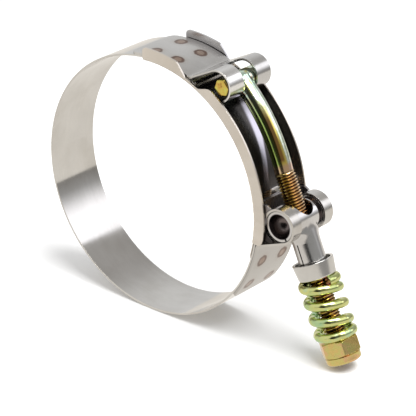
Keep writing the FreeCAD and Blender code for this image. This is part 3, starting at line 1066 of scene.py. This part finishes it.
def weld_marks(g, base, lines, welds, depth):
    """Heat tints round each spot weld: a brown halo, a dark ring and a burnt core."""
    halo, core_tint, ring_tint = (0.40, 0.33, 0.27), (0.30, 0.19, 0.13), (0.13, 0.065, 0.04)
    nearest = None
    for p in welds:
        d = g.vec("DISTANCE", g.obj(), tuple(c * MM for c in p))
        nearest = g.math("MINIMUM", nearest, d) if nearest else d
    base = g.mix(g.times(g.fall(nearest, 0.0015, 0.0042), 0.25), base, halo)
    wobble = g.times(g.math("SUBTRACT", g.noise(g.obj(), 900.0, detail=2.0), 0.5), 0.0007)
    d = g.math("ADD", nearest, wobble)
    ring = g.times(g.span(d, 0.0009, 0.0015), g.fall(d, 0.0018, 0.0024))
    core = g.times(g.fall(d, 0.0010, 0.0017), g.span(lines, 0.35, 0.6, 0.55, 0.9))
    base = g.mix(g.times(core, depth), base, core_tint)
    base = g.mix(g.times(ring, 0.9 * depth), base, ring_tint)
    g.bump(g.span(d, 0.0014, 0.0023), 0.35, 0.00012)
    return base


def strip_steel(name, color, rough, shade=None, welds=(), weld_depth=1.0):
    """Satin strip with fine rolling lines along it, faint stains, painted shade and light where a shade
    function is given and, on request, weld marks.
    """

    def tint(*shares):
        return tuple(c * t for c, t in zip(color, shares))

    mat, g = new_material(name)
    y = g.xyz()[1]
    angle = g.angle()
    lines = g.noise(g.combine(g.times(angle, 0.012), g.times(y, 14.0), 0.0), 160.0, detail=6.0, rough=0.65)
    blotch = g.noise(g.obj(), 55.0, detail=3.0)
    cloud = g.noise(g.combine(g.times(angle, 0.03), y, 0.0), 70.0, detail=5.0, rough=0.6)
    base = g.mix(g.span(blotch, 0.35, 0.7), color, tint(0.93, 0.93, 0.93))
    base = g.mix(g.times(g.span(cloud, 0.40, 0.72), 0.5), base, tint(0.74, 0.72, 0.69))
    base = g.mix(g.times(g.span(lines, 0.3, 0.75), 0.22), base, tint(0.8, 0.8, 0.8))
    r = g.math("ADD", rough, g.times(g.math("SUBTRACT", lines, 0.5), 0.10))
    r = g.math("ADD", r, g.times(g.math("SUBTRACT", blotch, 0.5), 0.05))
    # Painted shade and light, where a shade function is given
    if shade:
        base = shade(g, base)
    if welds:
        base = weld_marks(g, base, lines, welds, weld_depth)
    g.set(color=base, rough=r, metal=1.0, aniso=0.35)
    g.bump(lines, 0.05, 0.0001)
    return mat


# Plated pieces. Each ramp's stops are its colours, from one end to the other

BOLT_PATCHES = [
    (0.25, (0.30, 0.46, 0.26)),
    (0.42, (0.58, 0.58, 0.18)),
    (0.52, (0.60, 0.40, 0.16)),
    (0.62, (0.45, 0.58, 0.34)),
    (0.8, (0.56, 0.30, 0.28)),
]
BOLT_LENGTH = [
    (0.0, (0.62, 0.50, 0.14)),
    (0.20, (0.82, 0.66, 0.26)),
    (0.26, (0.84, 0.86, 0.42)),
    (0.31, (0.60, 0.84, 0.66)),
    (0.50, (0.56, 0.68, 0.44)),
    (0.62, (0.66, 0.58, 0.16)),
    (0.71, (0.60, 0.34, 0.16)),
    (0.745, (0.72, 0.42, 0.36)),
    (0.77, (0.66, 0.44, 0.20)),
]
# The head's middle: plating colours, with the cyan and green stops lifted towards white as painted highlight
HEAD_MIDDLE_TINT_AND_HIGHLIGHT = [
    (0.38, (0.92, 0.86, 0.30)),
    (0.5, (0.80, 0.95, 0.80)),
    (0.6, (0.62, 0.90, 0.80)),
    (0.7, (0.86, 0.50, 0.38)),
]
HEAD_TIPS = [(0.35, (0.36, 0.20, 0.06)), (0.45, (0.66, 0.44, 0.10)), (0.6, (0.64, 0.62, 0.14))]
SPRING_PATCHES = [
    (0.28, (0.38, 0.60, 0.36)),
    (0.42, (0.54, 0.64, 0.28)),
    (0.55, (0.66, 0.66, 0.26)),
    (0.7, (0.46, 0.68, 0.46)),
]
NUT_PATCHES = [
    (0.3, (0.56, 0.42, 0.14)),
    (0.45, (0.72, 0.52, 0.19)),
    (0.56, (0.64, 0.58, 0.20)),
    (0.68, (0.76, 0.48, 0.24)),
]


def bolt_colours(g, base, broad, fine):
    """The bolt's rainbow, by the place along its line (run), across it (wide) and from it (off)."""
    from_barrel = g.vec("SUBTRACT", g.obj(), (LOW_C[0] * MM, 0, LOW_C[1] * MM))
    run = g.vec("DOT_PRODUCT", from_barrel, (U[0] / MM, 0, U[1] / MM))
    out = g.vec("DOT_PRODUCT", from_barrel, (SIDE[0] / MM, 0, SIDE[1] / MM))
    y = g.xyz()[1]
    wide = g.times(y, 1 / MM)
    off = g.hypot(out, wide)
    drift = g.math("ADD", run, g.times(g.math("SUBTRACT", broad, 0.5), 9.0))

    # All over: bands along the length, with brown and green streaks
    base = g.mix(0.66, base, g.ramp(g.span(drift, -60.0, 0.0, smooth=False), BOLT_LENGTH))
    streaks = g.noise(g.combine(g.times(drift, 0.03), g.times(y, 400.0), 0.0), 2.2, detail=3.0)
    base = g.mix(g.times(g.span(streaks, 0.5, 0.68), 0.5), base, (0.42, 0.20, 0.12))
    base = g.mix(g.times(g.span(streaks, 0.5, 0.34), 0.45), base, (0.40, 0.66, 0.30))

    # The head's middle, in plating colours lifted towards white as a painted highlight, and its two tips
    base = g.mix(g.span(drift, -38.0, -41.0, 0.0, 0.85), base, g.ramp(fine, HEAD_MIDDLE_TINT_AND_HIGHLIGHT))
    base = g.mix(g.span(g.math("ABSOLUTE", y), 0.0060, 0.0078), base, g.ramp(fine, HEAD_TIPS))

    # The shank: a painted highlight, pale green, on one side; on the other, gold and a dark red stripe of
    # painted dark reflection; rosy next to the thread
    # Painted highlight: near white on one side of the shank
    pale = g.mix(g.span(fine, 0.38, 0.62), (0.62, 0.74, 0.60), (0.90, 0.97, 0.92))
    shade = g.mix(g.span(wide, -2.4, -0.6), base, pale)
    gold = g.mix(g.span(wide, -2.6, -2.0), (0.36, 0.55, 0.14), (0.86, 0.66, 0.14))
    shade = g.mix(g.times(g.span(run, -40.0, -30.0), g.span(wide, -0.1, -1.0)), shade, gold)
    # A painted dark reflection: a dark red stripe along the shank's other side
    dark_reflection_stripe = g.times(g.span(wide, -2.5, -2.0), g.fall(wide, -1.5, -0.8))
    dark_reflection_stripe = g.times(dark_reflection_stripe, g.span(run, -36.0, -30.0), g.fall(run, -18.5, -17.0))
    shade = g.mix(g.times(dark_reflection_stripe, 0.85), shade, (0.20, 0.05, 0.02))
    shade = g.mix(g.times(g.span(run, -17.5, -16.0), 0.7), shade, (0.86, 0.52, 0.40))
    base = g.mix(g.times(g.span(run, -41.5, -39.5), 0.85), base, shade)

    # The thread: painted highlight on its crests, brighter on one side, and painted shade in its roots
    thread_light_and_shade = g.mix(g.span(wide, -2.6, -0.8), (0.58, 0.46, 0.16), (1.0, 0.74, 0.46))
    thread_light_and_shade = g.mix(g.span(off, 2.72, 3.05), (0.20, 0.10, 0.03), thread_light_and_shade)
    return g.mix(g.span(run, -14.7, -14.4), base, thread_light_and_shade)


def plated(name, stops, rough, scale, detail=None):
    """Passivated zinc: colours drift over the surface in soft patches."""
    mat, g = new_material(name)
    broad = g.noise(g.obj(), scale, detail=3.0, distortion=0.8)
    fine = g.noise(g.obj(), scale * 6, detail=4.0)
    base = g.ramp(g.math("ADD", broad, g.times(g.math("SUBTRACT", fine, 0.5), 0.25)), stops)
    if detail:
        base = detail(g, base, broad, fine)
    g.set(color=base, metal=1.0)
    g.set(rough=g.math("ADD", rough, g.times(fine, 0.12)))
    g.bump(fine, 0.05, 0.0001)
    return mat


def spring_waves(mat):
    """Coiling marks, shallow waves along the wire that break its highlight, and a rosy cut end."""
    g = Nodes(mat.node_tree)
    v = g.vec("SUBTRACT", g.obj(), (LOW_C[0] * MM, 0, LOW_C[1] * MM))
    x = g.vec("DOT_PRODUCT", v, (-SIDE[0], 0, -SIDE[1]))
    wave = g.math("COSINE", g.times(g.math("ARCTAN2", g.xyz()[1], x), 12.0))
    g.bump(g.math("MULTIPLY_ADD", wave, 0.5, 0.5), 1.0, 0.0001)
    end = LAY @ (Vector((*polar(COIL_R, COIL_START), CUP_FACE + WIRE_R)) * MM)
    cut = g.fall(g.vec("DISTANCE", g.obj(), tuple(end)), 0.00130, 0.00142)
    old = g.bsdf.inputs["Base Color"]
    g.set(color=g.mix(cut, old.links[0].from_socket, (0.72, 0.36, 0.28)))
    return mat


def weld_points(radius, spots):
    pts = []
    for a, y in spots:
        p = polar(radius, a)
        pts.append((p[0], y, p[1]))
    return pts


# Each weld is an angle round the ring and a place across the band
UPPER_WELDS = ((90.9, 5.5), (92.1, -5.0), (78.6, 3.9), (80.3, -5.2))
LOWER_WELDS = ((-19.3, -4.9), (-20.5, 5.2), (-34.5, 5.1), (-32.4, -5.7))
band_mat = strip_steel("band_satin", (0.70, 0.685, 0.66), 0.10)
bridge_mat = strip_steel("bridge_satin", (0.75, 0.70, 0.64), 0.26, paint_channel_shade)
bolt_strap_mat = strip_steel(
    "bolt_strap_satin", (0.66, 0.65, 0.635), 0.22, paint_under_shade, weld_points(BAND_R + STRAP_T, UPPER_WELDS)
)
barrel_strap_mat = strip_steel(
    "barrel_strap_satin",
    (0.68, 0.66, 0.63),
    0.24,
    paint_tail_shade,
    weld_points(LOW_R + STRAP_T, LOWER_WELDS),
    weld_depth=0.85,
)
# The saddle's colour is darkened overall: painted shade, for the dark channel it sits in
saddle_mat = strip_steel("saddle_satin", (0.30, 0.28, 0.28), 0.28, shade_saddle)
sleeve_mat = strip_steel("sleeve_satin", (0.70, 0.69, 0.685), 0.20, paint_tube_shade)
cup_mat = strip_steel("cup_satin", (0.68, 0.67, 0.65), 0.15)
bolt_mat = plated("bolt_zinc", BOLT_PATCHES, 0.08, 70.0, bolt_colours)
spring_mat = spring_waves(plated("spring_zinc", SPRING_PATCHES, 0.09, 90.0))
nut_mat = plated("nut_zinc", NUT_PATCHES, 0.20, 120.0)
ring_mat, ring_nodes = new_material("lock_plastic")
ring_nodes.set(color=(0.80, 0.78, 0.70), rough=0.45, metal=0.0)


# Put the pieces on their bodies


def place(obj, mat, body, slot_name, *nodes):
    obj.data.materials.clear()
    obj.data.materials.append(mat)
    if body:
        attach(obj, body)
    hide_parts(*nodes)
    return obj


band = build_band()
place(band, band_mat, None, "band_steel", "band")
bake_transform(band)
place(build_bridge(), bridge_mat, "ring", "band_steel", "bridge")
place(build_bolt_strap(), bolt_strap_mat, "ring", "strap_steel", "bolt_strap")
place(build_barrel_strap(), barrel_strap_mat, "lug", "strap_steel", "barrel_strap")
place(build_saddle(), saddle_mat, "lug", "strap_steel", "saddle")
place(build_t_bolt(), bolt_mat, "bolt", "yellow_zinc", "t_bolt")
place(build_sleeve(), sleeve_mat, "sleeve", "sleeve_steel", "barrel_sleeve")
place(build_cup(), cup_mat, "sleeve", "sleeve_steel", "spring_cup")
spring = place(build_spring(), spring_mat, "spring_end", "spring_zinc", "spring")
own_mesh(spring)
place(build_nut(), nut_mat, "nut", "yellow_zinc", "lock_nut")
place(build_lock_ring(), ring_mat, "nut", "lock_plastic", "lock_ring")


# Floor, world and lamp, in metres

FLOOR_Z = -42.72 * MM
FLOOR_HALF = 6.0


def mix_shader(g, fac, a, b):
    return g.fill(g.new("MixShader"), fac, a, b)


def build_floor():
    """A pale floor, white to the camera further out, and darker on the right for what reflects it."""
    s = FLOOR_HALF
    corners = [(-s, -s, FLOOR_Z), (s, -s, FLOOR_Z), (s, s, FLOOR_Z), (-s, s, FLOOR_Z)]
    me = bpy.data.meshes.new("floor")
    me.from_pydata(corners, [], [[0, 1, 2, 3]])
    obj = bpy.data.objects.new("floor", me)
    scene.collection.objects.link(obj)
    mat, g = new_material("floor_white")
    g.set(color=(0.93, 0.93, 0.93), rough=0.9, metal=0.0, specular=0.0)
    spot = g.new("NewGeometry").outputs["Position"]
    x, y, _ = g.split(spot)
    out = g.vec("LENGTH", spot)
    far = g.times(g.span(out, 0.85, 1.15), g.span(x, 0.0, 0.3))
    near_edge = g.times(g.span(y, -0.30, -0.42), g.span(x, -0.05, 0.05))
    look = g.mix(near_edge, g.mix(far, (0.90, 0.86, 0.80), (0.27, 0.26, 0.25)), (0.05, 0.05, 0.05))
    path = g.new("LightPath").outputs
    shader = mix_shader(g, path["Is Glossy Ray"], g.bsdf.outputs[0], g.fill(g.new("Emission"), look))
    fade = g.times(path["Is Camera Ray"], g.span(out, 0.15, 0.35))
    shader = mix_shader(g, fade, shader, g.fill(g.new("Emission"), WHITE))
    g.put(g.tree.nodes["Material Output"].inputs[0], shader)
    me.materials.append(mat)


SKY = [
    (0.0, (0.80, 0.77, 0.72)),
    (0.46, (0.80, 0.77, 0.73)),
    (0.50, (0.30, 0.29, 0.28)),
    (0.58, (0.46, 0.46, 0.46)),
    (0.72, (0.46, 0.45, 0.44)),
    (0.88, (0.44, 0.43, 0.42)),
    (1.0, (0.66, 0.66, 0.66)),
]


def build_world():
    """A grey studio with pale and dark cards, for what reflects it. The camera sees white."""
    world = bpy.data.worlds.new("studio")
    scene.world = world
    world.use_nodes = True
    g = Nodes(world.node_tree)
    way = g.new("TexCoord").outputs["Generated"]
    dx, dy, dz = g.split(way)
    sky = g.ramp(g.span(dz, -1.0, 1.0, smooth=False), SKY)
    back_left = g.times(g.span(dx, 0.05, -0.60), g.span(dy, 0.0, 0.3), g.span(dz, -0.10, 0.0))
    sky = g.mix(back_left, sky, (0.76, 0.76, 0.76))
    box = g.times(g.span(dz, 0.10, 0.42), g.fall(dz, 0.60, 0.63))
    box = g.times(box, g.span(dx, 0.28, 0.36), g.span(dy, 0.45, 0.60))
    sky = g.mix(box, sky, (1.7, 1.7, 1.78))
    front = g.times(g.span(dy, -0.05, -0.35), g.span(dz, -0.15, 0.05))
    sky = g.mix(front, sky, g.mix(g.span(dx, -0.05, -0.35), (0.36, 0.36, 0.35), (0.90, 0.89, 0.87)))
    side_card = g.times(g.span(dx, 0.76, 0.84), g.span(dz, 0.05, 0.15))
    sky = g.mix(side_card, sky, (0.36, 0.36, 0.35))
    dark_card = g.vec("DOT_PRODUCT", way, (0.27, -0.93, 0.25))
    sky = g.mix(g.span(dark_card, 0.84, 0.92), sky, (0.03, 0.03, 0.03))
    strip = g.times(g.span(dz, 0.40, 0.47), g.span(dx, 0.22, 0.34))
    strip = g.times(strip, g.span(dy, -0.05, 0.12), g.fall(dy, 0.50, 0.60))
    sky = g.mix(strip, sky, (1.25, 1.3, 1.3))
    over = g.times(g.span(dz, 0.78, 0.86), g.span(dy, 0.35, 0.10))
    sky = g.mix(over, sky, (1.2, 1.2, 1.2))
    path = g.new("LightPath").outputs
    sky = g.mix(path["Is Diffuse Ray"], sky, (0.80, 0.80, 0.80))
    back = g.fill(g.tree.nodes["Background"], sky)
    shader = mix_shader(g, path["Is Camera Ray"], back, g.fill(g.new("Background"), WHITE))
    g.put(g.tree.nodes["World Output"].inputs[0], shader)


KEY_PLACE = Vector((0.35, -0.05, 0.80))
KEY_TARGET = Vector((0.02, 0, 0))


def build_key_lamp():
    data = bpy.data.lights.new("key", "AREA")
    data.energy = 9.0
    data.size = 0.6
    lamp = bpy.data.objects.new("key", data)
    scene.collection.objects.link(lamp)
    lamp.location = KEY_PLACE
    lamp.rotation_euler = (KEY_TARGET - KEY_PLACE).to_track_quat("-Z", "Y").to_euler()


# The camera. The ring's centre lies at CENTRE_PIXEL in the photograph
PHOTO_SIZE = 416
CENTRE_PIXEL = (170.865, 176.515)
CAMERA_PLACE = Vector((0.4444, -0.5105, 0.3032))
SENSOR = 36.0
LENS = 205.69


def build_camera():
    """Looks at the ring's centre, then turns until that centre lies at its pixel."""
    data = bpy.data.cameras.new("camera")
    data.sensor_width = SENSOR
    data.lens = LENS
    data.clip_start = 0.05
    data.clip_end = 20.0
    cam = bpy.data.objects.new("camera", data)
    scene.collection.objects.link(cam)
    scene.camera = cam
    forward = (-CAMERA_PLACE).normalized()
    right = forward.cross(Vector((0, 0, 1))).normalized()
    upward = right.cross(forward)
    across = PHOTO_SIZE / 2 - CENTRE_PIXEL[0]
    down = PHOTO_SIZE / 2 - CENTRE_PIXEL[1]
    ray = (forward * (LENS / SENSOR * PHOTO_SIZE) + right * across - upward * down).normalized()
    turn = forward.rotation_difference(ray).to_matrix().to_4x4()
    axes = Matrix((right, upward, -forward)).transposed().to_4x4()
    cam.matrix_world = Matrix.Translation(CAMERA_PLACE) @ turn @ axes


build_floor()
build_world()
build_key_lamp()
build_camera()
scene.view_settings.view_transform = "Standard"
